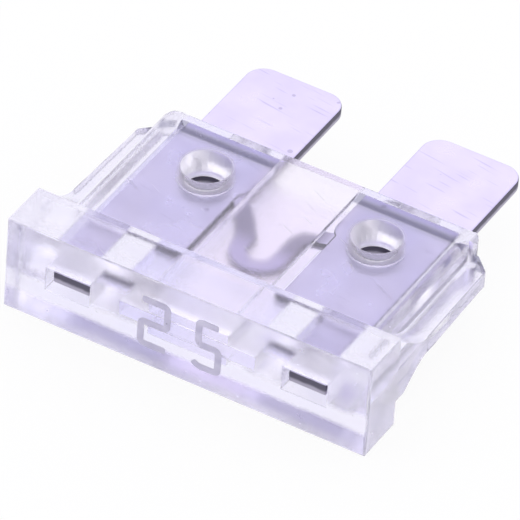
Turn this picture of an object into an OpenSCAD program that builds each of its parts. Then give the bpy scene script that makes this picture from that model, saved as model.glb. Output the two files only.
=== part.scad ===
// Regular plug-in blade fuse: a clear moulded housing around a one-piece stamped element.
//
// Lengths are millimetres. The fuse lies on one broad face of its head:
//   X  across the fuse, through both blades
//   Y  from the outer face of the head towards the blade tips
//   Z  up, through the thickness of the housing
// The origin is the middle of the footprint, on the surface that the fuse lies on.

/* [Overall] */
// Length from the outer face of the head to the blade tips
fuse_len = 19.05; // [18.0:0.05:20.0]

/* [Head of the housing] */
// Width of the head, over both ends
head_w = 19.25; // [19.05:0.05:19.6]
// Length of the head along the fuse
head_len = 2.8; // [2.6:0.05:3.1]
// Thickness of the head
head_t = 5.1; // [4.6:0.1:5.6]
// Rounding of the head's four upright corners
head_round = 0.15; // [0.1:0.05:0.5]
// Rounding of the head's other edges
head_edge = 0.08; // [0.06:0.02:0.2]

/* [Body of the housing] */
// Distance from the head's outer face to the end of the body
body_end = 12.25; // [12.0:0.05:12.5]
// Width of the thick part of the body
body_w = 16.6; // [16.2:0.1:17.0]
// Thickness of the body
body_t = 3.4; // [3.2:0.1:3.6]
// Rounding along the body's sides
body_round = 0.52; // [0.3:0.02:0.8]
// Rounding of the body's two far corners
body_corner = 0.9; // [0.4:0.1:1.2]
// How far the block on the body's far corner at +X stands out sideways
block_out = 0.25; // [0.1:0.05:0.4]
// Length of that block along the fuse
block_len = 1.3; // [1.0:0.05:1.6]
// Rounding of that block's edges
block_round = 0.35; // [0.2:0.05:0.5]

/* [Side flanges] */
// Width over both flanges at the head
flange_w = 19.0; // [18.8:0.05:19.0]
// Width over both flanges at their far end
flange_end_w = 18.7; // [18.1:0.1:18.8]
// Thickness of the flanges
flange_t = 0.9; // [0.5:0.05:1.0]
// Distance from the head's outer face to where the flanges' far corners are cut
flange_end = 11.4; // [11.0:0.05:11.6]
// Thickness of the flange roots beside the head
root_t = 3.0; // [2.4:0.1:3.2]

/* [Cavities of the housing] */
// Width of the window around the fuse link
window_w = 4.2; // [3.8:0.1:4.6]
// Height of the window through the thickness
window_t = 1.8; // [1.5:0.1:2.4]
// Thickness of the wall in front of the window
front_wall = 0.45; // [0.4:0.05:1.1]
// Width of the slot that holds both blades
slot_w = 14.9; // [14.8:0.05:15.1]
// Height of the blade slot
slot_t = 0.8; // [0.75:0.05:1.0]
// Distance from the head's outer face to the bottom of the blade slot
slot_bottom = 3.25; // [3.1:0.05:3.4]
// Width of the narrow part of the slot inside the head
vent_w = 7.2; // [5.0:0.1:8.0]
// Thickness of the wall in front of that narrow part
vent_wall = 0.3; // [0.25:0.05:0.8]
// Size of a test opening across the fuse
probe_w = 2.35; // [2.3:0.05:2.6]
// Size of a test opening through the thickness
probe_t = 1.3; // [1.0:0.05:1.4]

/* [Stakes] */
// Distance of each blade's hole from the middle of the fuse
stake_x = 4.55; // [4.4:0.05:4.8]
// Distance of the holes and wells from the head's outer face
stake_y = 9.4; // [9.0:0.05:10.0]
// How far the wells stand off their places towards +X
stake_shift = 0.05; // [0:0.05:0.15]
// Diameter of a stake well at the surface
well_d = 2.45; // [2.3:0.05:2.6]
// Diameter of a stake well at the blade
well_floor_d = 2.0; // [1.7:0.05:2.05]
// Diameter of the hole in each blade
blade_hole_d = 2.1; // [2.1:0.05:2.3]

/* [Element] */
// Width of a blade
blade_w = 5.05; // [4.9:0.05:5.3]
// Width over the outer edges of both blades
blades_w = 14.6; // [14.3:0.05:14.6]
// Thickness of the blades
blade_t = 0.6; // [0.55:0.05:0.7]
// Rounding of the blade tips
tip_round = 1.0; // [0.5:0.1:1.4]
// Distance from the head's outer face to the blades' shoulders
shoulder_y = 3.5; // [3.45:0.05:3.8]
// How far the inner edges step back inside the housing
blade_step = 0.35; // [0.2:0.05:0.5]
// Width of a test tab
tab_w = 1.95; // [1.7:0.05:2.1]
// Depth of the test tabs behind the head's outer face
tab_depth = 0.33; // [0.2:0.01:0.9]
// Thickness of the fuse link
link_t = 0.45; // [0.3:0.05:0.6]
// Width of the fuse link at its narrow bend
link_w = 0.85; // [0.6:0.05:1.0]

/* [Hidden] */
$fn = 64;

over = 0.01;
clear_plastic = [0.87, 0.86, 0.95, 0.55];
zinc = [0.78, 0.77, 0.82];

// Side view of the flange roots: flat up to the first distance, hollow up to the second
root_flat_end = head_len + 0.95;
root_end = head_len + 3.05;
root_fullness = 0.6;

// Lead-in chamfer at the mouth of the blade slot: its length and its rise on each side
mouth_len = 0.6;
mouth_rise = 0.35;

// Diameter of the plastic ring pressed against the blade around a stake
stake_ring_d = blade_hole_d + 0.7;

// Places on the element
blade_outer = blades_w / 2;
blade_inner = blade_outer - blade_w;
blade_neck = blade_inner + blade_step;
tab_outer = blade_outer - 0.08;
blade_widens = body_end - 3.3;

// Fuse link: a half ring, with a straight arm to the right blade and a leaning arm to the left one
bend_x = 0.1;
bend_y = 6.55;
bend_r = 1.05;
right_arm_end = 8.2;
right_arm_corner = [0.35, 0.75];
right_join = [8.45, 9.45];
left_arm_lean = [7.4, 7.5];
left_arm_corner = [-1.35, 8.6];
left_join = [8.7, 9.9];

// --- Small tools -----------------------------------------------------------

// Rectangle from x0 to x1 and y0 to y1 with its four corners rounded
module rounded_rect(x0, x1, y0, y1, r) {
    translate([x0 + r, y0]) square([x1 - x0 - 2 * r, y1 - y0]);
    translate([x0, y0 + r]) square([x1 - x0, y1 - y0 - 2 * r]);
    for (x = [x0 + r, x1 - r], y = [y0 + r, y1 - r]) translate([x, y]) circle(r);
}

// Profile drawn in X and Z, run along Y from y0 to y1
module along_y(y0, y1) {
    translate([0, y1, 0]) rotate([90, 0, 0]) linear_extrude(y1 - y0) children();
}

// Profile drawn in Y and Z, run along X over the width w
module along_x(w) {
    rotate([90, 0, 90]) linear_extrude(w, center = true) children();
}

// Outline drawn in X and Y, run through the thickness t
module through_z(t) {
    linear_extrude(t, center = true) children();
}

// The same thing on both sides of the fuse
module both_sides() {
    children();
    mirror([1, 0, 0]) children();
}

// Puts a piece drawn about the housing's middle plane into the part's frame
module on_its_face() {
    translate([0, -fuse_len / 2, head_t / 2]) children();
}

// --- Housing ---------------------------------------------------------------

// Thick head, rounded along all its edges
module head() {
    intersection() {
        through_z(head_t) rounded_rect(-head_w / 2, head_w / 2, 0, head_len, head_round);
        along_x(head_w) rounded_rect(0, head_len, -head_t / 2, head_t / 2, head_edge);
        along_y(0, head_len) rounded_rect(-head_w / 2, head_w / 2, -head_t / 2, head_t / 2, head_edge);
    }
}

// Body, rounded along its sides and at its two far corners
module body() {
    intersection() {
        along_y(head_len / 2, body_end)
            rounded_rect(-body_w / 2, body_w / 2, -body_t / 2, body_t / 2, body_round);
        through_z(body_t) rounded_rect(-body_w / 2, body_w / 2, 0, body_end, body_corner);
    }
    corner_block();
}

// Fuller far corner of the body at +X, where the rounding along the side stops short
module corner_block() {
    side = body_w / 2 + block_out;
    start = body_end - block_len;
    bend = body_end - block_round;
    intersection() {
        along_y(start, body_end) rounded_rect(0, side, -body_t / 2, body_t / 2, block_round);
        through_z(body_t) union() {
            polygon([[0, start], [body_w / 2 - 0.5, start], [side, bend], [side - block_round, body_end], [0, body_end]]);
            translate([side - block_round, bend]) circle(block_round);
        }
    }
}

// Thin flanges on both sides, with their far corners cut back to the body
module flanges() {
    cut = (flange_end_w - body_w) / 2;
    far = min(flange_end + cut, body_end - 0.05);
    half = [
        [0, head_len / 2],
        [flange_w / 2, head_len / 2],
        [flange_end_w / 2, flange_end],
        [flange_end_w / 2 - far + flange_end, far],
        [0, far],
    ];
    both_sides() through_z(flange_t) polygon(half);
}

// Side view of the flange roots: thick beside the head, running out in a hollow curve
module root_profile() {
    rise = (root_t - flange_t) / 2;
    run = root_end - root_flat_end;
    steps = 12;
    curve = [for (i = [0 : steps])
        let (u = i / steps)
        [root_flat_end + run * u, flange_t / 2 + rise * pow(1 - u, 2) * (1 + root_fullness * u)]];
    upper = concat([[head_len / 2, root_t / 2]], curve);
    lower = [for (i = [len(upper) - 1 : -1 : 0]) [upper[i][0], -upper[i][1]]];
    polygon(concat(upper, lower));
}

module flange_roots() {
    along_x(flange_w - 0.1) root_profile();
}

// Slot for the blades, with the window around the link and the narrow part in the head
module element_slot() {
    translate([-slot_w / 2, slot_bottom, -slot_t / 2]) cube([slot_w, body_end - slot_bottom + 1, slot_t]);
    translate([-vent_w / 2, vent_wall, -slot_t / 2]) cube([vent_w, slot_bottom, slot_t]);
    translate([-window_w / 2, front_wall, -window_t / 2]) cube([window_w, body_end, window_t]);
    both_sides() mouth_lead_in();
}

// Chamfer that widens the mouth of the blade slot on one side of the window
module mouth_lead_in() {
    start = window_w / 2 - over;
    rotate([90, 0, 90]) translate([0, 0, start]) linear_extrude(slot_w / 2 - start)
        polygon([
            [body_end - mouth_len, -slot_t / 2], [body_end - mouth_len, slot_t / 2],
            [body_end + over, slot_t / 2 + mouth_rise], [body_end + over, -slot_t / 2 - mouth_rise],
        ]);
}

// Opening in the head through which a test probe reaches a tab
module probe_openings() {
    both_sides()
        translate([slot_w / 2 - probe_w, -1, -probe_t / 2]) cube([probe_w, slot_bottom + 1 + over, probe_t]);
}

// Conical wells, pressed in from both faces down to the blades
module stake_wells() {
    depth = (body_t - slot_t) / 2;
    for (side = [-1, 1]) translate([side * stake_x + stake_shift, stake_y, 0]) for (turn = [0, 180])
        rotate([turn, 0, 0]) translate([0, 0, slot_t / 2 - over])
            cylinder(h = depth + 2 * over, d1 = well_floor_d, d2 = well_d);
}

// Rings of plastic that the staking tool pressed against both faces of each blade
module stake_rings() {
    clearance = 0.01;
    height = (slot_t - blade_t) / 2 - clearance;
    for (side = [-1, 1]) translate([side * stake_x + stake_shift, stake_y, 0]) for (turn = [0, 180])
        rotate([turn, 0, 0]) translate([0, 0, blade_t / 2 + clearance]) difference() {
            cylinder(h = height + over, d = stake_ring_d);
            translate([0, 0, -over]) cylinder(h = height + 3 * over, d = well_floor_d);
        }
}

module housing() {
    color(clear_plastic) on_its_face() {
        difference() {
            union() {
                head();
                body();
                flanges();
                flange_roots();
            }
            element_slot();
            probe_openings();
            stake_wells();
        }
        stake_rings();
    }
}

// --- Element ---------------------------------------------------------------

// One blade with its test tab, on the +X side
module blade_outline() {
    rounded_rect(blade_inner, blade_outer, blade_widens, fuse_len, tip_round);
    translate([blade_neck, shoulder_y])
        square([blade_outer - blade_neck, blade_widens + tip_round - shoulder_y]);
    translate([tab_outer - tab_w, tab_depth]) square([tab_w, shoulder_y - tab_depth + over]);
}

// S-shaped link between the inner edges of the two blades
module link_outline() {
    inner_r = bend_r - link_w / 2;
    outer_r = bend_r + link_w / 2;
    left = bend_x - outer_r;
    right = bend_x + inner_r;
    join = blade_neck + over;
    // half ring
    translate([bend_x, bend_y]) difference() {
        circle(outer_r);
        circle(inner_r);
        translate([-outer_r - 1, 0]) square([2 * outer_r + 2, outer_r + 1]);
    }
    // right arm
    translate([right, bend_y - over]) square([link_w, right_arm_end - bend_y + over]);
    polygon([
        [right, right_arm_end - over], [right + link_w, right_arm_end - over],
        [join, right_join[0]], [join, right_join[1]],
        [right + right_arm_corner[0], right_arm_end + right_arm_corner[1]],
    ]);
    // left arm
    polygon([
        [left, bend_y - over], [left + link_w, bend_y - over],
        [left + link_w, left_arm_lean[0]], left_arm_corner,
        [-join, left_join[1]], [-join, left_join[0]],
        [left - right_arm_corner[0], left_arm_lean[1]],
    ]);
}

module fuse_element() {
    color(zinc) on_its_face() {
        difference() {
            both_sides() through_z(blade_t) blade_outline();
            for (side = [-1, 1]) translate([side * stake_x, stake_y, -blade_t])
                cylinder(h = 2 * blade_t, d = blade_hole_d);
        }
        through_z(link_t) link_outline();
    }
}

housing();
fuse_element();
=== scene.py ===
"""Regular plug-in blade fuse: a clear moulded housing, a stamped zinc element and a printed rating.

Everything is in metres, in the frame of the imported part: X across both blades, Y from the head towards the
blade tips, Z up through the thickness of the housing.
"""

import logging
import math
from dataclasses import dataclass, field
from enum import Enum
from typing import Any, Mapping, Sequence

import bmesh
import bpy
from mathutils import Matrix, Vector


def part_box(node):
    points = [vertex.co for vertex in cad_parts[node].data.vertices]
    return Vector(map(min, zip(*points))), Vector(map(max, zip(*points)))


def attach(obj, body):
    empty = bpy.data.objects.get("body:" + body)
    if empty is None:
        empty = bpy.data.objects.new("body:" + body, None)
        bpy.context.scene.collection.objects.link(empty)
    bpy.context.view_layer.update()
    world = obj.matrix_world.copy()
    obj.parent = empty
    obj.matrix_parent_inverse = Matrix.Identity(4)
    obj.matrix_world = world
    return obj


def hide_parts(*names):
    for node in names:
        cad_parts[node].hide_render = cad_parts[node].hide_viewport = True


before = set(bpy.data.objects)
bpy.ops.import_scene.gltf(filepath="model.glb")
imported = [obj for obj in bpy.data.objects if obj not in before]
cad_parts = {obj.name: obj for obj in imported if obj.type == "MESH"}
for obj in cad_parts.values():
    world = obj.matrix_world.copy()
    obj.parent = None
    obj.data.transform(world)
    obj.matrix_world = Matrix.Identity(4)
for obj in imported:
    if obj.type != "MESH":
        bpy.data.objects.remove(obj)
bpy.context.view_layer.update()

MM = 0.001
Colour = tuple[float, float, float]

log = logging.getLogger("blade_fuse")


class Slot(Enum):
    """Material slots of the record that a piece takes its finish from."""

    HOUSING = "clear_plastic"
    ELEMENT = "zinc"


class Glyph(Enum):
    """Digits of the printed rating, each as the path of one stroke in a cell of one by one."""

    TWO = ((0.0, 1.0), (1.0, 1.0), (1.0, 0.5), (0.0, 0.5), (0.0, 0.0), (1.0, 0.0))
    FIVE = ((1.0, 1.0), (0.0, 1.0), (0.0, 0.5), (1.06, 0.5), (1.06, 0.0), (0.0, 0.0), (-0.22, 0.08))


# --- Node trees -------------------------------------------------------------


class Wiring:
    """Adds nodes to one node tree and joins them."""

    def __init__(self, tree: bpy.types.NodeTree) -> None:
        """Args:
        tree: The node tree that is filled.
        """
        self.tree = tree

    def add(self, kind: str, inputs: Mapping[Any, Any] | None = None, **settings: Any) -> bpy.types.Node:
        """Adds one node.

        Args:
            kind: The node's type without its ShaderNode prefix.
            inputs: Values or sockets for its inputs, by name or index.
            **settings: Attributes of the node, such as its operation.

        Returns:
            The new node.
        """
        node = self.tree.nodes.new("ShaderNode" + kind)
        for name, value in settings.items():
            setattr(node, name, value)
        for key, value in (inputs or {}).items():
            self.feed(node.inputs[key], value)
        return node

    def feed(self, socket: bpy.types.NodeSocket, value: Any) -> None:
        """Links an output to an input, or sets the input's own value.

        Args:
            socket: The input.
            value: An output socket, a number, a vector or a colour.
        """
        if isinstance(value, bpy.types.NodeSocket):
            self.tree.links.new(value, socket)
        elif socket.type == "RGBA":
            socket.default_value = (*value[:3], 1.0)
        else:
            socket.default_value = value

    def math(self, operation: str, *values: Any) -> bpy.types.NodeSocket:
        """Combines numbers.

        Args:
            operation: The Math node's operation.
            *values: Its inputs, in order.

        Returns:
            The result's socket.
        """
        return self.add("Math", dict(enumerate(values)), operation=operation).outputs[0]

    def remap(
        self, value: Any, start: float, end: float, low: float = 0.0, high: float = 1.0
    ) -> bpy.types.NodeSocket:
        """Turns the range from start to end into the range from low to high, with soft ends.

        Args:
            value: The number that is turned.
            start: Value that gives low.
            end: Value that gives high.
            low: Result at the start.
            high: Result at the end.

        Returns:
            The result's socket.
        """
        inputs = {"Value": value, "From Min": start, "From Max": end, "To Min": low, "To Max": high}
        return self.add("MapRange", inputs, interpolation_type="SMOOTHSTEP").outputs[0]

    def tint(self, factor: Any, low: Any, high: Any) -> bpy.types.NodeSocket:
        """Mixes two colours.

        Args:
            factor: 0 for the low colour, 1 for the high one.
            low: The first colour.
            high: The second colour.

        Returns:
            The mixed colour's socket.
        """
        return self.add("Mix", {0: factor, 6: low, 7: high}, data_type="RGBA").outputs[2]

    def level(self, factor: Any, low: Any, high: Any) -> bpy.types.NodeSocket:
        """Mixes two numbers.

        Args:
            factor: 0 for the low number, 1 for the high one.
            low: The first number.
            high: The second number.

        Returns:
            The mixed number's socket.
        """
        return self.add("Mix", {0: factor, 2: low, 3: high}, data_type="FLOAT").outputs[0]

    def place(self) -> bpy.types.NodeSocket:
        """Returns the place on the piece, as object coordinates in metres."""
        return self.add("TexCoord").outputs["Object"]

    def facing(self) -> tuple[bpy.types.NodeSocket, bpy.types.NodeSocket]:
        """Returns how far the surface faces along the fuse and through its thickness, without their signs."""
        normal = self.add("SeparateXYZ", {0: self.add("TexCoord").outputs["Normal"]}).outputs
        return self.math("ABSOLUTE", normal["Y"]), self.math("ABSOLUTE", normal["Z"])


class Effects:
    """Effects that the finishes place, as shader node groups that are built once."""

    PATCH_RANGE = (0.3, 0.7)
    SCRATCH_TOP = 0.86
    SCRATCH_EDGE = 14.0
    SMALLEST_SPECK = 0.3
    _built: dict[str, bpy.types.NodeTree] = {}

    @classmethod
    def _group(
        cls, name: str, inputs: Mapping[str, Any], outputs: Mapping[str, str]
    ) -> tuple[Wiring, bpy.types.NodeOutputs, bpy.types.NodeInputs]:
        """Starts a node group.

        Args:
            name: The group's name.
            inputs: Default values by socket name; a colour has three numbers, and None is a vector.
            outputs: Socket types by name, such as Float.

        Returns:
            The wiring, the group's inputs and the group's outputs.
        """
        tree = bpy.data.node_groups.new(name, "ShaderNodeTree")
        for label, value in inputs.items():
            kind = "Vector" if value is None else "Color" if isinstance(value, tuple) else "Float"
            socket = tree.interface.new_socket(label, in_out="INPUT", socket_type="NodeSocket" + kind)
            if isinstance(value, tuple):
                socket.default_value = (*value, 1.0)
            elif value is not None:
                socket.default_value = value
        for label, kind in outputs.items():
            tree.interface.new_socket(label, in_out="OUTPUT", socket_type="NodeSocket" + kind)
        cls._built[name] = tree
        source = tree.nodes.new("NodeGroupInput")
        target = tree.nodes.new("NodeGroupOutput")
        return Wiring(tree), source.outputs, target.inputs

    @classmethod
    def place_in(cls, wiring: Wiring, name: str, **values: Any) -> bpy.types.NodeOutputs:
        """Puts a shared effect into a material.

        Args:
            wiring: The material's wiring.
            name: The effect's name, which is also the name of the method that builds it.
            **values: Values or sockets for its inputs.

        Returns:
            The effect's outputs.
        """
        if name not in cls._built:
            getattr(cls, name)()
        node = wiring.tree.nodes.new("ShaderNodeGroup")
        node.node_tree = cls._built[name]
        for label, value in values.items():
            wiring.feed(node.inputs[label.replace("_", " ")], value)
        return node.outputs

    @classmethod
    def mottle(cls) -> None:
        """Soft uneven patches: a colour between two tints, and the mask between them."""
        defaults = {"Vector": None, "Scale": 400.0, "Low": (0.5, 0.5, 0.5), "High": (0.8, 0.8, 0.8)}
        wiring, given, result = cls._group("mottle", defaults, {"Color": "Color", "Mask": "Float"})
        broad = wiring.add("TexNoise", {"Vector": given["Vector"], "Scale": given["Scale"], "Detail": 3.0})
        mask = wiring.remap(broad.outputs[0], *cls.PATCH_RANGE)
        wiring.feed(result["Color"], wiring.tint(mask, given["Low"], given["High"]))
        wiring.feed(result["Mask"], mask)

    @classmethod
    def scratches(cls) -> None:
        """Short hairline scratches in one direction, sparse enough that most of the surface stays clean."""
        defaults = {"Vector": None, "Turn": 0.0, "Fineness": 9000.0, "Length": 0.06, "Cover": 0.3}
        wiring, given, result = cls._group("scratches", defaults, {"Mask": "Float"})
        aimed = {"Vector": given["Vector"], "Angle": given["Turn"]}
        turned = wiring.add("VectorRotate", aimed, rotation_type="Z_AXIS").outputs[0]
        squeeze = wiring.add("CombineXYZ", {0: given["Length"], 1: 1.0, 2: 1.0}).outputs[0]
        drawn = wiring.add("VectorMath", {0: turned, 1: squeeze}, operation="MULTIPLY").outputs[0]
        lines = wiring.add("TexNoise", {"Vector": drawn, "Scale": given["Fineness"], "Detail": 1.0})
        limit = wiring.math("SUBTRACT", cls.SCRATCH_TOP, given["Cover"])
        mask = wiring.math("MULTIPLY", wiring.math("SUBTRACT", lines.outputs[0], limit), cls.SCRATCH_EDGE)
        mask.node.use_clamp = True
        wiring.feed(result["Mask"], mask)

    @classmethod
    def specks(cls) -> None:
        """Small round pits and grains of dust, sparse enough that most cells stay empty."""
        defaults = {"Vector": None, "Scale": 1400.0, "Size": 0.16, "Cover": 0.1}
        wiring, given, result = cls._group("specks", defaults, {"Mask": "Float"})
        cells = wiring.add("TexVoronoi", {"Vector": given["Vector"], "Scale": given["Scale"]})
        chosen = wiring.add("SeparateColor", {0: cells.outputs["Color"]})
        spread = wiring.math("ADD", chosen.outputs[1], cls.SMALLEST_SPECK)
        size = wiring.math("MULTIPLY", given["Size"], spread)
        dot = wiring.math("LESS_THAN", cells.outputs["Distance"], size)
        kept = wiring.math("LESS_THAN", chosen.outputs[0], given["Cover"])
        wiring.feed(result["Mask"], wiring.math("MULTIPLY", dot, kept))

    @classmethod
    def stake_zone(cls) -> None:
        """A round zone about each stake: 1 inside the inner distance and 0 beyond the outer one."""
        place = {"Vector": None, "Offset": 4.55 * MM, "Shift": 0.0, "Along": 0.0}
        defaults = {**place, "Inner": 1.0 * MM, "Outer": 1.3 * MM}
        wiring, given, result = cls._group("stake_zone", defaults, {"Mask": "Float"})
        point = wiring.add("SeparateXYZ", {0: given["Vector"]})
        side = wiring.math("ABSOLUTE", wiring.math("SUBTRACT", point.outputs["X"], given["Shift"]))
        across = wiring.math("SUBTRACT", side, given["Offset"])
        along = wiring.math("SUBTRACT", point.outputs["Y"], given["Along"])
        square = wiring.math("ADD", wiring.math("POWER", across, 2.0), wiring.math("POWER", along, 2.0))
        reach = wiring.math("SQRT", square)
        span = wiring.math("SUBTRACT", given["Outer"], given["Inner"])
        mask = wiring.math("DIVIDE", wiring.math("SUBTRACT", given["Outer"], reach), span)
        mask.node.use_clamp = True
        wiring.feed(result["Mask"], mask)


# --- Finishes ---------------------------------------------------------------


@dataclass(frozen=True)
class Stakes:
    """Where the housing is pressed against the blades: across, off the middle, and along the fuse."""

    offset: float = 4.55 * MM
    shift: float = 0.05 * MM
    along: float = -0.125 * MM

    def zone(
        self, wiring: Wiring, place: bpy.types.NodeSocket, reach: tuple[float, float]
    ) -> bpy.types.NodeSocket:
        """Marks a round zone about each stake.

        Args:
            wiring: The material's wiring.
            place: The place on the piece.
            reach: Radius inside which the zone is full, and radius at which it ends.

        Returns:
            1 inside the zones and 0 elsewhere.
        """
        return Effects.place_in(
            wiring, "stake_zone", Vector=place, Offset=self.offset, Shift=self.shift, Along=self.along,
            Inner=reach[0], Outer=reach[1],
        )["Mask"]


@dataclass(frozen=True)
class ClearPlastic:
    """Clear polycarbonate with a faint cool cast.

    It is glossy over the blades, frosted by the mould on the head and the sides, soft over the link, and hazy
    where the stakes were pressed, where a whiter tint is also painted highlight for the bright walls of the
    wells.
    """

    pale: Colour = (0.90, 0.875, 1.0)
    cool: Colour = (0.85, 0.83, 1.0)
    patch_scale: float = 260.0
    clearness: float = 0.99
    refraction: float = 1.585
    polish: float = 0.05
    haze: float = 0.09
    # Partly painted highlight: the whiter tint about the stakes stands for the bright walls of the wells.
    pressed_and_highlight: Colour = (0.99, 0.965, 1.0)
    pressed_roughness: float = 0.34
    pressed_reach: tuple[float, float] = (1.25 * MM, 1.45 * MM)
    stakes: Stakes = Stakes()
    middle: float = 2.55 * MM
    # Painted shade: a dark tint on the lead-in at the slot mouth, for the shadow inside the slot.
    mouth_shade: Colour = (0.2, 0.195, 0.3)
    mouth_from: tuple[float, float] = (2.02 * MM, 2.2 * MM)
    mouth_rise: tuple[float, float] = (0.36 * MM, 0.86 * MM)
    mouth_slope: float = 0.9
    window: Colour = (0.93, 0.885, 1.0)
    window_roughness: float = 0.08
    window_reach: tuple[float, float] = (2.0 * MM, 2.8 * MM)
    window_from: float = -6.75 * MM
    window_facing: tuple[float, float] = (0.9, 0.99)
    moulded_roughness: tuple[float, float] = (0.03, 0.06)
    head_to: tuple[float, float] = (-6.9 * MM, -6.7 * MM)
    sides_from: tuple[float, float] = (7.3 * MM, 7.5 * MM)
    frost_fineness: float = 25000.0
    frost_depth: float = 0.0065 * MM
    frost_about_stakes: tuple[float, float] = (1.4 * MM, 1.9 * MM)
    dust: Colour = (0.42, 0.40, 0.50)
    scuffed: Colour = (0.72, 0.70, 0.84)
    scuff_cover: float = 0.4
    scuff_roughness: float = 0.35
    flow_scale: float = 420.0
    flow_height: float = 0.5
    scratch_depth: float = 0.3
    relief: tuple[float, float] = (0.12, 0.01 * MM)

    def make(self) -> bpy.types.Material:
        """Returns the finished material."""
        material, wiring, shader = start_material(Slot.HOUSING.value)
        place = wiring.place()
        point = wiring.add("SeparateXYZ", {0: place}).outputs
        lengthwise, upright = wiring.facing()
        body = Effects.place_in(
            wiring, "mottle", Vector=place, Scale=self.patch_scale, Low=self.cool, High=self.pale
        )
        scratches = {"Turn": 0.5, "Fineness": 6000.0, "Cover": 0.14}
        marks = Effects.place_in(wiring, "scratches", Vector=place, **scratches)["Mask"]
        dust = Effects.place_in(wiring, "specks", Vector=place, Scale=900.0, Size=0.07, Cover=0.05)["Mask"]
        pressed_and_highlight = self.stakes.zone(wiring, place, self.pressed_reach)
        window = self.window_mask(wiring, point, upright)
        # Painted highlight about the stakes; the pressed haze itself is the roughness below.
        base = wiring.tint(pressed_and_highlight, body["Color"], self.pressed_and_highlight)
        base = wiring.tint(window, base, self.window)
        # Painted shade: the lead-in at the slot mouth is tinted dark.
        base = wiring.tint(self.mouth_shade_mask(wiring, point, lengthwise), base, self.mouth_shade)
        base = wiring.tint(wiring.math("MULTIPLY", marks, self.scuff_cover), base, self.scuffed)
        wiring.feed(shader.inputs["Base Color"], wiring.tint(dust, base, self.dust))
        moulded = self.moulded_mask(wiring, point)
        over_link = wiring.math("MULTIPLY", window, wiring.math("GREATER_THAN", point["Z"], self.middle))
        rough = wiring.level(body["Mask"], self.polish, self.haze)
        rough = wiring.level(moulded, rough, wiring.level(body["Mask"], *self.moulded_roughness))
        rough = wiring.level(over_link, rough, self.window_roughness)
        rough = wiring.math("MAXIMUM", rough, wiring.math("MULTIPLY", marks, self.scuff_roughness))
        wiring.feed(shader.inputs["Roughness"], wiring.level(pressed_and_highlight, rough, self.pressed_roughness))
        wiring.feed(shader.inputs["IOR"], self.refraction)
        wiring.feed(shader.inputs["Transmission Weight"], self.clearness)
        about_stakes = self.stakes.zone(wiring, place, self.frost_about_stakes)
        frosted = wiring.math("MAXIMUM", wiring.math("MAXIMUM", moulded, over_link), about_stakes)
        wiring.feed(shader.inputs["Normal"], self.surface_relief(wiring, place, marks, frosted))
        return material

    def moulded_mask(self, wiring: Wiring, point: bpy.types.NodeOutputs) -> bpy.types.NodeSocket:
        """Marks the head and the sides, which the mould leaves frosted.

        Args:
            wiring: The material's wiring.
            point: The place on the piece, split into X, Y and Z.

        Returns:
            1 on the head and the sides, and 0 elsewhere.
        """
        head = wiring.remap(point["Y"], *self.head_to, 1.0, 0.0)
        sides = wiring.remap(wiring.math("ABSOLUTE", point["X"]), *self.sides_from)
        return wiring.math("MAXIMUM", head, sides)

    def window_mask(
        self, wiring: Wiring, point: bpy.types.NodeOutputs, upright: bpy.types.NodeSocket
    ) -> bpy.types.NodeSocket:
        """Marks the flat faces above and below the link.

        Args:
            wiring: The material's wiring.
            point: The place on the piece, split into X, Y and Z.
            upright: How far the surface faces through the thickness.

        Returns:
            1 on those faces and 0 elsewhere.
        """
        across = wiring.remap(wiring.math("ABSOLUTE", point["X"]), *self.window_reach, 1.0, 0.0)
        zone = wiring.math("MULTIPLY", across, wiring.math("GREATER_THAN", point["Y"], self.window_from))
        return wiring.math("MULTIPLY", zone, wiring.remap(upright, *self.window_facing))

    def mouth_shade_mask(
        self, wiring: Wiring, point: bpy.types.NodeOutputs, lengthwise: bpy.types.NodeSocket
    ) -> bpy.types.NodeSocket:
        """Marks the lead-in at the mouth of the blade slot, which is tinted dark as painted shade for the
        slot's shadow.

        Args:
            wiring: The material's wiring.
            point: The place on the piece, split into X, Y and Z.
            lengthwise: How far the surface faces along the fuse.

        Returns:
            1 on the lead-in and 0 elsewhere.
        """
        rise = wiring.math("ABSOLUTE", wiring.math("SUBTRACT", point["Z"], self.middle))
        low, high = self.mouth_rise
        above = wiring.math("GREATER_THAN", rise, low)
        inside = wiring.math("MULTIPLY", above, wiring.math("LESS_THAN", rise, high))
        near = wiring.remap(point["Y"], *self.mouth_from)
        sloping = wiring.math("LESS_THAN", lengthwise, self.mouth_slope)
        return wiring.math("MULTIPLY", wiring.math("MULTIPLY", inside, near), sloping)

    def surface_relief(
        self,
        wiring: Wiring,
        place: bpy.types.NodeSocket,
        marks: bpy.types.NodeSocket,
        frosted: bpy.types.NodeSocket,
    ) -> bpy.types.NodeSocket:
        """Gives the plastic its flow waves, its scratches and the fine grain of the frosted zones.

        Args:
            wiring: The material's wiring.
            place: The place on the piece.
            marks: Where the scratches are.
            frosted: Where the frost is.

        Returns:
            The bent surface normal.
        """
        flow = wiring.add("TexNoise", {"Vector": place, "Scale": self.flow_scale, "Detail": 2.0})
        waves = wiring.math("MULTIPLY", flow.outputs[0], self.flow_height)
        height = wiring.math("SUBTRACT", waves, wiring.math("MULTIPLY", marks, self.scratch_depth))
        strength, depth = self.relief
        bump = wiring.add("Bump", {"Height": height, "Strength": strength, "Distance": depth}).outputs[0]
        grain = wiring.add("TexNoise", {"Vector": place, "Scale": self.frost_fineness, "Detail": 0.0})
        frost = wiring.math("MULTIPLY", grain.outputs[0], frosted)
        fine = {"Height": frost, "Strength": 1.0, "Distance": self.frost_depth, "Normal": bump}
        return wiring.add("Bump", fine).outputs[0]


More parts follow.
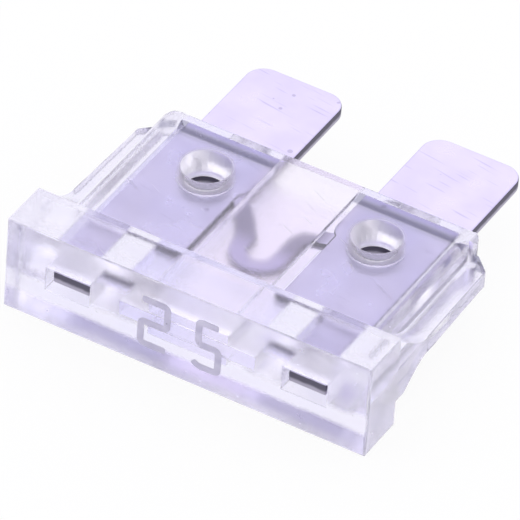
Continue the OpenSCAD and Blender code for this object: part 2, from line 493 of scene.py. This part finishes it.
@dataclass(frozen=True)
class StampedZinc:
    """Rolled zinc sheet: satin faces with fine wear, dark torn edges that are partly painted shade, and a
    dull thinned link.
    """

    bright: Colour = (0.71, 0.655, 0.91)
    soft: Colour = (0.665, 0.61, 0.86)
    covered: Colour = (0.93, 0.98, 0.80)
    covered_to: tuple[float, float] = (2.5 * MM, 2.8 * MM)
    # Partly painted shade: torn edges and hole walls are this dark to stand for the shadow on them.
    edge_torn_and_shaded: Colour = (0.14, 0.13, 0.18)
    edge_light: Colour = (0.52, 0.49, 0.60)
    link: Colour = (0.475, 0.46, 0.575)
    # Painted light: the link is this much lighter at its bend, towards the head, as the light falls there.
    link_bend_painted_light: Colour = (0.82, 0.79, 0.99)
    spot: Colour = (0.42, 0.38, 0.50)
    polish: float = 0.26
    satin: float = 0.36
    patch_scale: float = 420.0
    patch_height: float = 0.35
    face_from: tuple[float, float] = (0.35, 0.9)
    scratch_wear: float = 0.35
    pit_wear: float = 0.5
    wear_roughness: float = 0.3
    link_roughness: float = 0.6
    edge_roughness: float = 0.55
    thickness: tuple[float, float] = (2.25 * MM, 2.85 * MM)
    torn_scale: float = 2600.0
    torn_depth: float = 0.12 * MM
    torn_inset: float = 0.2 * MM
    relief: tuple[float, float] = (0.25, 0.01 * MM)
    link_reach: tuple[float, float] = (1.9 * MM, 2.7 * MM)
    link_end: tuple[float, float] = (0.4 * MM, 0.9 * MM)
    bend_along: tuple[float, float] = (-3.2 * MM, -1.8 * MM)

    def make(self) -> bpy.types.Material:
        """Returns the finished material."""
        material, wiring, shader = start_material(Slot.ELEMENT.value)
        place = wiring.place()
        point = wiring.add("SeparateXYZ", {0: place}).outputs
        _, upright = wiring.facing()
        face = wiring.remap(upright, *self.face_from)
        sheet = Effects.place_in(
            wiring, "mottle", Vector=place, Scale=self.patch_scale, Low=self.soft, High=self.bright
        )
        wear = self.wear_mask(wiring, place)
        bare = wiring.remap(point["Y"], *self.covered_to)
        shade = wiring.tint(bare, self.covered, (1.0, 1.0, 1.0))
        stain = {0: 1.0, 6: sheet["Color"], 7: shade}
        dulled = wiring.add("Mix", stain, data_type="RGBA", blend_type="MULTIPLY").outputs[2]
        worn = wiring.tint(wear, dulled, self.spot)
        reach = wiring.math("ABSOLUTE", point["X"])
        beyond = wiring.remap(point["Y"], *self.link_end)
        blade = wiring.math("MAXIMUM", wiring.remap(reach, *self.link_reach), beyond)
        # Painted light and shade: the link turns from lighter at its bend to darker towards the blades.
        link_light_and_shade = wiring.tint(wiring.remap(point["Y"], *self.bend_along), self.link_bend_painted_light, self.link)
        broad = wiring.tint(blade, link_light_and_shade, worn)
        # Cut edges and hole walls take the torn colour, which is partly painted shade.
        edge = self.edge_colour_and_shade(wiring, place, point["Z"])
        wiring.feed(shader.inputs["Base Color"], wiring.tint(face, edge, broad))
        wiring.feed(shader.inputs["Metallic"], 1.0)
        rough = wiring.level(sheet["Mask"], self.satin, self.polish)
        rough = wiring.math("ADD", rough, wiring.math("MULTIPLY", wear, self.wear_roughness))
        rough = wiring.level(blade, self.link_roughness, rough)
        wiring.feed(shader.inputs["Roughness"], wiring.level(face, self.edge_roughness, rough))
        height = wiring.math("SUBTRACT", wiring.math("MULTIPLY", sheet["Mask"], self.patch_height), wear)
        strength, depth = self.relief
        bump = wiring.add("Bump", {"Height": height, "Strength": strength, "Distance": depth})
        wiring.feed(shader.inputs["Normal"], bump.outputs[0])
        return material

    def wear_mask(self, wiring: Wiring, place: bpy.types.NodeSocket) -> bpy.types.NodeSocket:
        """Scatters hairline scratches and pits.

        Args:
            wiring: The material's wiring.
            place: The place on the piece.

        Returns:
            How worn the sheet is, from 0 to 1.
        """
        scratches = {"Turn": 0.15, "Fineness": 7000.0, "Cover": 0.2}
        marks = Effects.place_in(wiring, "scratches", Vector=place, **scratches)["Mask"]
        pits = Effects.place_in(wiring, "specks", Vector=place, Scale=1500.0, Size=0.17, Cover=0.11)["Mask"]
        light = wiring.math("MULTIPLY", marks, self.scratch_wear)
        return wiring.math("MAXIMUM", light, wiring.math("MULTIPLY", pits, self.pit_wear))

    def edge_colour_and_shade(
        self, wiring: Wiring, place: bpy.types.NodeSocket, height: bpy.types.NodeSocket
    ) -> bpy.types.NodeSocket:
        """Turns the cut edge from bright, where it was sheared, to dark, where it was torn; the dark end is
        partly painted shade for the shadow on the edges and in the holes.

        Args:
            wiring: The material's wiring.
            place: The place on the piece.
            height: The place through the thickness.

        Returns:
            The edge's colour.
        """
        low, high = self.thickness
        torn = wiring.add("TexNoise", {"Vector": place, "Scale": self.torn_scale, "Detail": 3.0})
        depth = wiring.math("ADD", height, wiring.math("MULTIPLY", torn.outputs[0], self.torn_depth))
        dark = wiring.remap(depth, low + self.torn_inset, high - self.torn_inset)
        return wiring.tint(dark, self.edge_light, self.edge_torn_and_shaded)


@dataclass(frozen=True)
class PrintedInk:
    """Grey print, thin and uneven, so that the plastic shows through it a little."""

    dense: Colour = (0.53, 0.505, 0.65)
    thin: Colour = (0.73, 0.70, 0.84)
    patch_scale: float = 2200.0
    cover: tuple[float, float] = (0.9, 0.7)
    cover_in_gaps: float = 0.35
    roughness: tuple[float, float] = (0.6, 0.8)

    def make(self) -> bpy.types.Material:
        """Returns the finished material."""
        material, wiring, shader = start_material("grey_print")
        place = wiring.place()
        ink = Effects.place_in(
            wiring, "mottle", Vector=place, Scale=self.patch_scale, Low=self.dense, High=self.thin
        )
        gaps = Effects.place_in(wiring, "specks", Vector=place, Scale=7000.0, Size=0.3, Cover=0.12)["Mask"]
        wiring.feed(shader.inputs["Base Color"], ink["Color"])
        cover = wiring.level(ink["Mask"], *self.cover)
        wiring.feed(shader.inputs["Alpha"], wiring.level(gaps, cover, self.cover_in_gaps))
        wiring.feed(shader.inputs["Roughness"], wiring.level(ink["Mask"], *self.roughness))
        return material


def start_material(name: str) -> tuple[bpy.types.Material, Wiring, bpy.types.Node]:
    """Makes an empty material.

    Args:
        name: The material's name.

    Returns:
        The material, its wiring and its Principled BSDF.
    """
    material = bpy.data.materials.get(name) or bpy.data.materials.new(name)
    material.use_nodes = True
    tree = material.node_tree
    tree.nodes.clear()
    wiring = Wiring(tree)
    shader = wiring.add("BsdfPrincipled")
    target = wiring.add("OutputMaterial")
    wiring.feed(target.inputs["Surface"], shader.outputs[0])
    return material, wiring, shader


# --- Pieces -----------------------------------------------------------------


def add_piece(name: str, mesh: bmesh.types.BMesh, material: bpy.types.Material) -> bpy.types.Object:
    """Turns a finished bmesh into a piece that rides on the fuse.

    Args:
        name: The piece's name.
        mesh: The bmesh, which is freed.
        material: Its finish.

    Returns:
        The new object, at the origin.
    """
    data = bpy.data.meshes.new(name)
    mesh.to_mesh(data)
    mesh.free()
    data.materials.append(material)
    piece = bpy.data.objects.new(name, data)
    bpy.context.scene.collection.objects.link(piece)
    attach(piece, "root")
    return piece


@dataclass
class ReworkedNode:
    """A copy of a CAD node with merged faces and rounded edges, which is shown in the node's place.

    Its angles are in degrees.
    """

    node: str
    name: str
    slot: Slot
    edge_round: float
    shortest: float = 0.0
    round_steps: int = 2
    sharp_from: float = 40.0
    crease_from: float = 25.0
    flat_from: float = 0.12 * MM
    strip_corners: int = 8
    merge_within: float = 0.006 * MM
    flat_within: float = 1.0
    sliver: float = 0.0005 * MM

    def build(self, material: bpy.types.Material) -> bpy.types.Object:
        """Builds the piece.

        Args:
            material: Its finish.

        Returns:
            The piece that replaces the node.
        """
        mesh = bmesh.new()
        mesh.from_mesh(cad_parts[self.node].data)
        bmesh.ops.remove_doubles(mesh, verts=mesh.verts, dist=self.merge_within)
        flat = math.radians(self.flat_within)
        bmesh.ops.dissolve_limit(mesh, angle_limit=flat, verts=mesh.verts, edges=mesh.edges)
        self.soften_edges(mesh)
        bmesh.ops.dissolve_degenerate(mesh, dist=self.sliver, edges=mesh.edges)
        bmesh.ops.recalc_face_normals(mesh, faces=mesh.faces)
        mesh.normal_update()
        self.set_shading(mesh)
        piece = add_piece(self.name, mesh, material)
        old_normals = piece.data.attributes.get("custom_normal")
        if old_normals is not None:
            piece.data.attributes.remove(old_normals)
        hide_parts(self.node)
        return piece

    def soften_edges(self, mesh: bmesh.types.BMesh) -> None:
        """Rounds every sharp edge that is long enough.

        Args:
            mesh: The merged copy of the node.
        """
        limit = math.radians(self.sharp_from)
        edges = [
            edge for edge in mesh.edges
            if len(edge.link_faces) == 2
            and edge.calc_face_angle(0.0) > limit
            and edge.calc_length() > self.shortest
        ]
        bmesh.ops.bevel(
            mesh, geom=edges, offset=self.edge_round, offset_type="OFFSET", affect="EDGES",
            segments=self.round_steps, profile=0.5, material=-1, clamp_overlap=False,
        )

    def set_shading(self, mesh: bmesh.types.BMesh) -> None:
        """Shades narrow strips smoothly and keeps wide faces flat, so that the plastic doesn't look wavy.

        Args:
            mesh: The rounded copy of the node.
        """
        crease = math.radians(self.crease_from)
        for edge in mesh.edges:
            edge.smooth = not (len(edge.link_faces) == 2 and edge.calc_face_angle(0.0) > crease)
        for face in mesh.faces:
            width = 2.0 * face.calc_area() / face.calc_perimeter()
            face.smooth = width <= self.flat_from and len(face.verts) <= self.strip_corners


@dataclass
class PrintedRating:
    """The rating, printed in plain digits on the outer face of the head."""

    digits: Sequence[tuple[Glyph, float, float]] = (
        (Glyph.TWO, -2.32 * MM, 1.36 * MM),
        (Glyph.FIVE, 0.70 * MM, 1.02 * MM),
    )
    height: float = 2.57 * MM
    lower_line: float = -1.32 * MM
    stroke: float = 0.35 * MM
    turn: float = 0.2 * MM
    turn_steps: int = 4
    end_round: float = 0.42
    corner_from: float = 60.0
    square_to_face: float = 0.9
    thickness: float = 0.02 * MM

    def build(self, material: bpy.types.Material) -> list[bpy.types.Object]:
        """Builds one piece for each digit.

        Args:
            material: The ink.

        Returns:
            The pieces.
        """
        low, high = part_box("housing")
        middle = (low.z + high.z) / 2
        pieces = []
        for glyph, left, width in self.digits:
            strip = self.lay_path(glyph, left, width, low.y, middle)
            mesh = self.widen(strip)
            self.round_ends(mesh)
            bmesh.ops.recalc_face_normals(mesh, faces=mesh.faces)
            pieces.append(add_piece(f"rating_{glyph.name.lower()}", mesh, material))
        return pieces

    def lay_path(
        self, glyph: Glyph, left: float, width: float, face_y: float, middle_z: float
    ) -> bmesh.types.BMesh:
        """Lays a digit's path on the head's outer face and pulls it out to the print's thickness.

        Args:
            glyph: The digit.
            left: Place of the cell's left side across the fuse.
            width: Width of the cell.
            face_y: Place of the head's outer face.
            middle_z: Height of the middle of the head.

        Returns:
            A ribbon that stands upright on the face along the path.
        """
        mesh = bmesh.new()
        sunk_y = face_y + self.thickness / 4
        low_z = middle_z + self.lower_line
        points = [mesh.verts.new((left + u * width, sunk_y, low_z + v * self.height)) for u, v in glyph.value]
        for start, end in zip(points, points[1:]):
            mesh.edges.new((start, end))
        bmesh.ops.bevel(
            mesh, geom=points[1:-1], offset=self.turn, offset_type="OFFSET", affect="VERTICES",
            segments=self.turn_steps, profile=0.5, material=-1,
        )
        pulled = bmesh.ops.extrude_edge_only(mesh, edges=mesh.edges[:])["geom"]
        moved = [part for part in pulled if isinstance(part, bmesh.types.BMVert)]
        bmesh.ops.translate(mesh, verts=moved, vec=Vector((0.0, -self.thickness, 0.0)))
        bmesh.ops.recalc_face_normals(mesh, faces=mesh.faces)
        return mesh

    def widen(self, strip: bmesh.types.BMesh) -> bmesh.types.BMesh:
        """Gives the ribbon the stroke's width, evenly on both sides.

        Args:
            strip: The ribbon, which is freed.

        Returns:
            The closed stroke.
        """
        data = bpy.data.meshes.new("stroke")
        strip.to_mesh(data)
        strip.free()
        holder = bpy.data.objects.new("stroke", data)
        bpy.context.scene.collection.objects.link(holder)
        wall = holder.modifiers.new("width", "SOLIDIFY")
        wall.thickness = self.stroke
        wall.offset = 0.0
        wall.use_even_offset = True
        finished = holder.evaluated_get(bpy.context.evaluated_depsgraph_get())
        mesh = bmesh.new()
        mesh.from_mesh(finished.to_mesh())
        finished.to_mesh_clear()
        bpy.data.objects.remove(holder)
        bpy.data.meshes.remove(data)
        return mesh

    def round_ends(self, mesh: bmesh.types.BMesh) -> None:
        """Rounds both ends of the stroke.

        Args:
            mesh: The closed stroke.
        """
        corners = [
            edge for edge in mesh.edges
            if len(edge.link_faces) == 2
            and edge.calc_face_angle(0.0) > math.radians(self.corner_from)
            and abs((edge.verts[0].co - edge.verts[1].co).normalized().y) > self.square_to_face
        ]
        bmesh.ops.bevel(
            mesh, geom=corners, offset=self.stroke * self.end_round, offset_type="OFFSET", affect="EDGES",
            segments=self.turn_steps, profile=0.5, material=-1, clamp_overlap=True,
        )


# --- Studio -----------------------------------------------------------------


@dataclass
class Studio:
    """Plain pale floor, soft light all round that is dimmer behind the camera, and the camera."""

    floor_half: float = 3.0
    floor_gap: float = 0.02 * MM
    floor_colour: Colour = (0.93, 0.93, 0.93)
    floor_white: float = 0.92
    sky: Colour = (1.02, 1.005, 1.05)
    dim_sky: Colour = (0.98, 0.97, 1.05)
    dim_towards: tuple[float, float, float] = (0.55, -0.8, 0.25)
    dim_edge: tuple[float, float] = (0.0, 0.75)
    lamp_place: tuple[float, float, float] = (-0.15, 0.25, 0.5)
    lamp_size: float = 0.5
    lamp_power: float = 0.3
    camera_place: tuple[float, float, float] = (0.14558, -0.283245, 0.26104)
    camera_turn: tuple[float, float, float] = (50.63186, -3.38618, 30.20061)
    camera_lens: float = 613.242
    bounces: int = 24

    def build(self) -> None:
        """Sets up the floor, the light and the camera."""
        self.lay_floor()
        self.light()
        self.aim()
        cycles = bpy.context.scene.cycles
        cycles.max_bounces = self.bounces
        cycles.diffuse_bounces = self.bounces
        cycles.glossy_bounces = self.bounces
        cycles.transmission_bounces = self.bounces
        bpy.context.scene.view_settings.view_transform = "Standard"

    def lay_floor(self) -> None:
        """Lays the floor just under the fuse."""
        mesh = bmesh.new()
        bmesh.ops.create_grid(mesh, x_segments=1, y_segments=1, size=self.floor_half)
        bmesh.ops.translate(mesh, verts=mesh.verts, vec=Vector((0.0, 0.0, -self.floor_gap)))
        data = bpy.data.meshes.new("floor")
        mesh.to_mesh(data)
        mesh.free()
        data.materials.append(self.floor_finish())
        floor = bpy.data.objects.new("floor", data)
        bpy.context.scene.collection.objects.link(floor)

    def floor_finish(self) -> bpy.types.Material:
        """Returns a floor that looks white and still takes a soft shadow."""
        material = bpy.data.materials.new("pale_floor")
        material.use_nodes = True
        material.node_tree.nodes.clear()
        wiring = Wiring(material.node_tree)
        path = wiring.add("LightPath").outputs
        through = wiring.math("MAXIMUM", path["Is Glossy Ray"], path["Is Transmission Ray"])
        seen = wiring.math("MULTIPLY", path["Is Camera Ray"], self.floor_white)
        matt = wiring.add("BsdfDiffuse", {"Color": self.floor_colour})
        white = wiring.add("Emission", {"Color": (1.0, 1.0, 1.0), "Strength": 1.0})
        mixed = wiring.add(
            "MixShader", {0: wiring.math("MAXIMUM", through, seen), 1: matt.outputs[0], 2: white.outputs[0]}
        )
        wiring.feed(wiring.add("OutputMaterial").inputs["Surface"], mixed.outputs[0])
        return material

    def light(self) -> None:
        """Hangs one soft lamp and fills the room with soft light."""
        lamp_data = bpy.data.lights.new("soft_lamp", "AREA")
        lamp_data.shape = "SQUARE"
        lamp_data.size = self.lamp_size
        lamp_data.energy = self.lamp_power
        lamp = bpy.data.objects.new("soft_lamp", lamp_data)
        bpy.context.scene.collection.objects.link(lamp)
        lamp.location = self.lamp_place
        lamp.rotation_euler = (-Vector(self.lamp_place)).to_track_quat("-Z", "Y").to_euler()
        world = bpy.data.worlds.new("studio")
        bpy.context.scene.world = world
        world.use_nodes = True
        world.node_tree.nodes.clear()
        wiring = Wiring(world.node_tree)
        sight = wiring.add("TexCoord").outputs["Generated"]
        way = wiring.add("VectorMath", {0: sight}, operation="NORMALIZE").outputs[0]
        dim_side = Vector(self.dim_towards).normalized()
        dim = wiring.add("VectorMath", {0: way, 1: dim_side}, operation="DOT_PRODUCT").outputs["Value"]
        colour = wiring.tint(wiring.remap(dim, *self.dim_edge), self.sky, self.dim_sky)
        seen = wiring.tint(wiring.add("LightPath").outputs["Is Camera Ray"], colour, (1.0, 1.0, 1.0))
        room = wiring.add("Background", {"Color": seen, "Strength": 1.0})
        wiring.feed(wiring.add("OutputWorld").inputs["Surface"], room.outputs[0])

    def aim(self) -> None:
        """Places the camera."""
        data = bpy.data.cameras.new("camera")
        data.lens = self.camera_lens
        data.sensor_width = 36.0
        data.clip_start = 0.01
        data.clip_end = 20.0
        camera = bpy.data.objects.new("camera", data)
        bpy.context.scene.collection.objects.link(camera)
        camera.location = self.camera_place
        camera.rotation_euler = [math.radians(angle) for angle in self.camera_turn]
        bpy.context.scene.camera = camera


@dataclass
class BladeFuse:
    """The whole fuse, put together from its sub-assemblies."""

    housing: ReworkedNode = field(
        default_factory=lambda: ReworkedNode(
            "housing", "clear_housing", Slot.HOUSING, edge_round=0.04 * MM, shortest=0.25 * MM
        )
    )
    element: ReworkedNode = field(
        default_factory=lambda: ReworkedNode(
            "fuse_element", "stamped_element", Slot.ELEMENT, edge_round=0.07 * MM
        )
    )
    rating: PrintedRating = field(default_factory=PrintedRating)
    plastic: ClearPlastic = ClearPlastic()
    zinc: StampedZinc = StampedZinc()
    ink: PrintedInk = PrintedInk()

    def build(self) -> list[bpy.types.Object]:
        """Builds and dresses every piece.

        Returns:
            The pieces, in the order in which they were made.
        """
        pieces = [
            self.housing.build(self.plastic.make()),
            self.element.build(self.zinc.make()),
            *self.rating.build(self.ink.make()),
        ]
        for piece in pieces:
            log.info("%s: %d faces", piece.name, len(piece.data.polygons))
        return pieces


def main() -> None:
    """Builds the fuse and the studio."""
    logging.basicConfig(level=logging.INFO, format="%(name)s: %(message)s")
    BladeFuse().build()
    Studio().build()


if __name__ == "__main__":
    main()
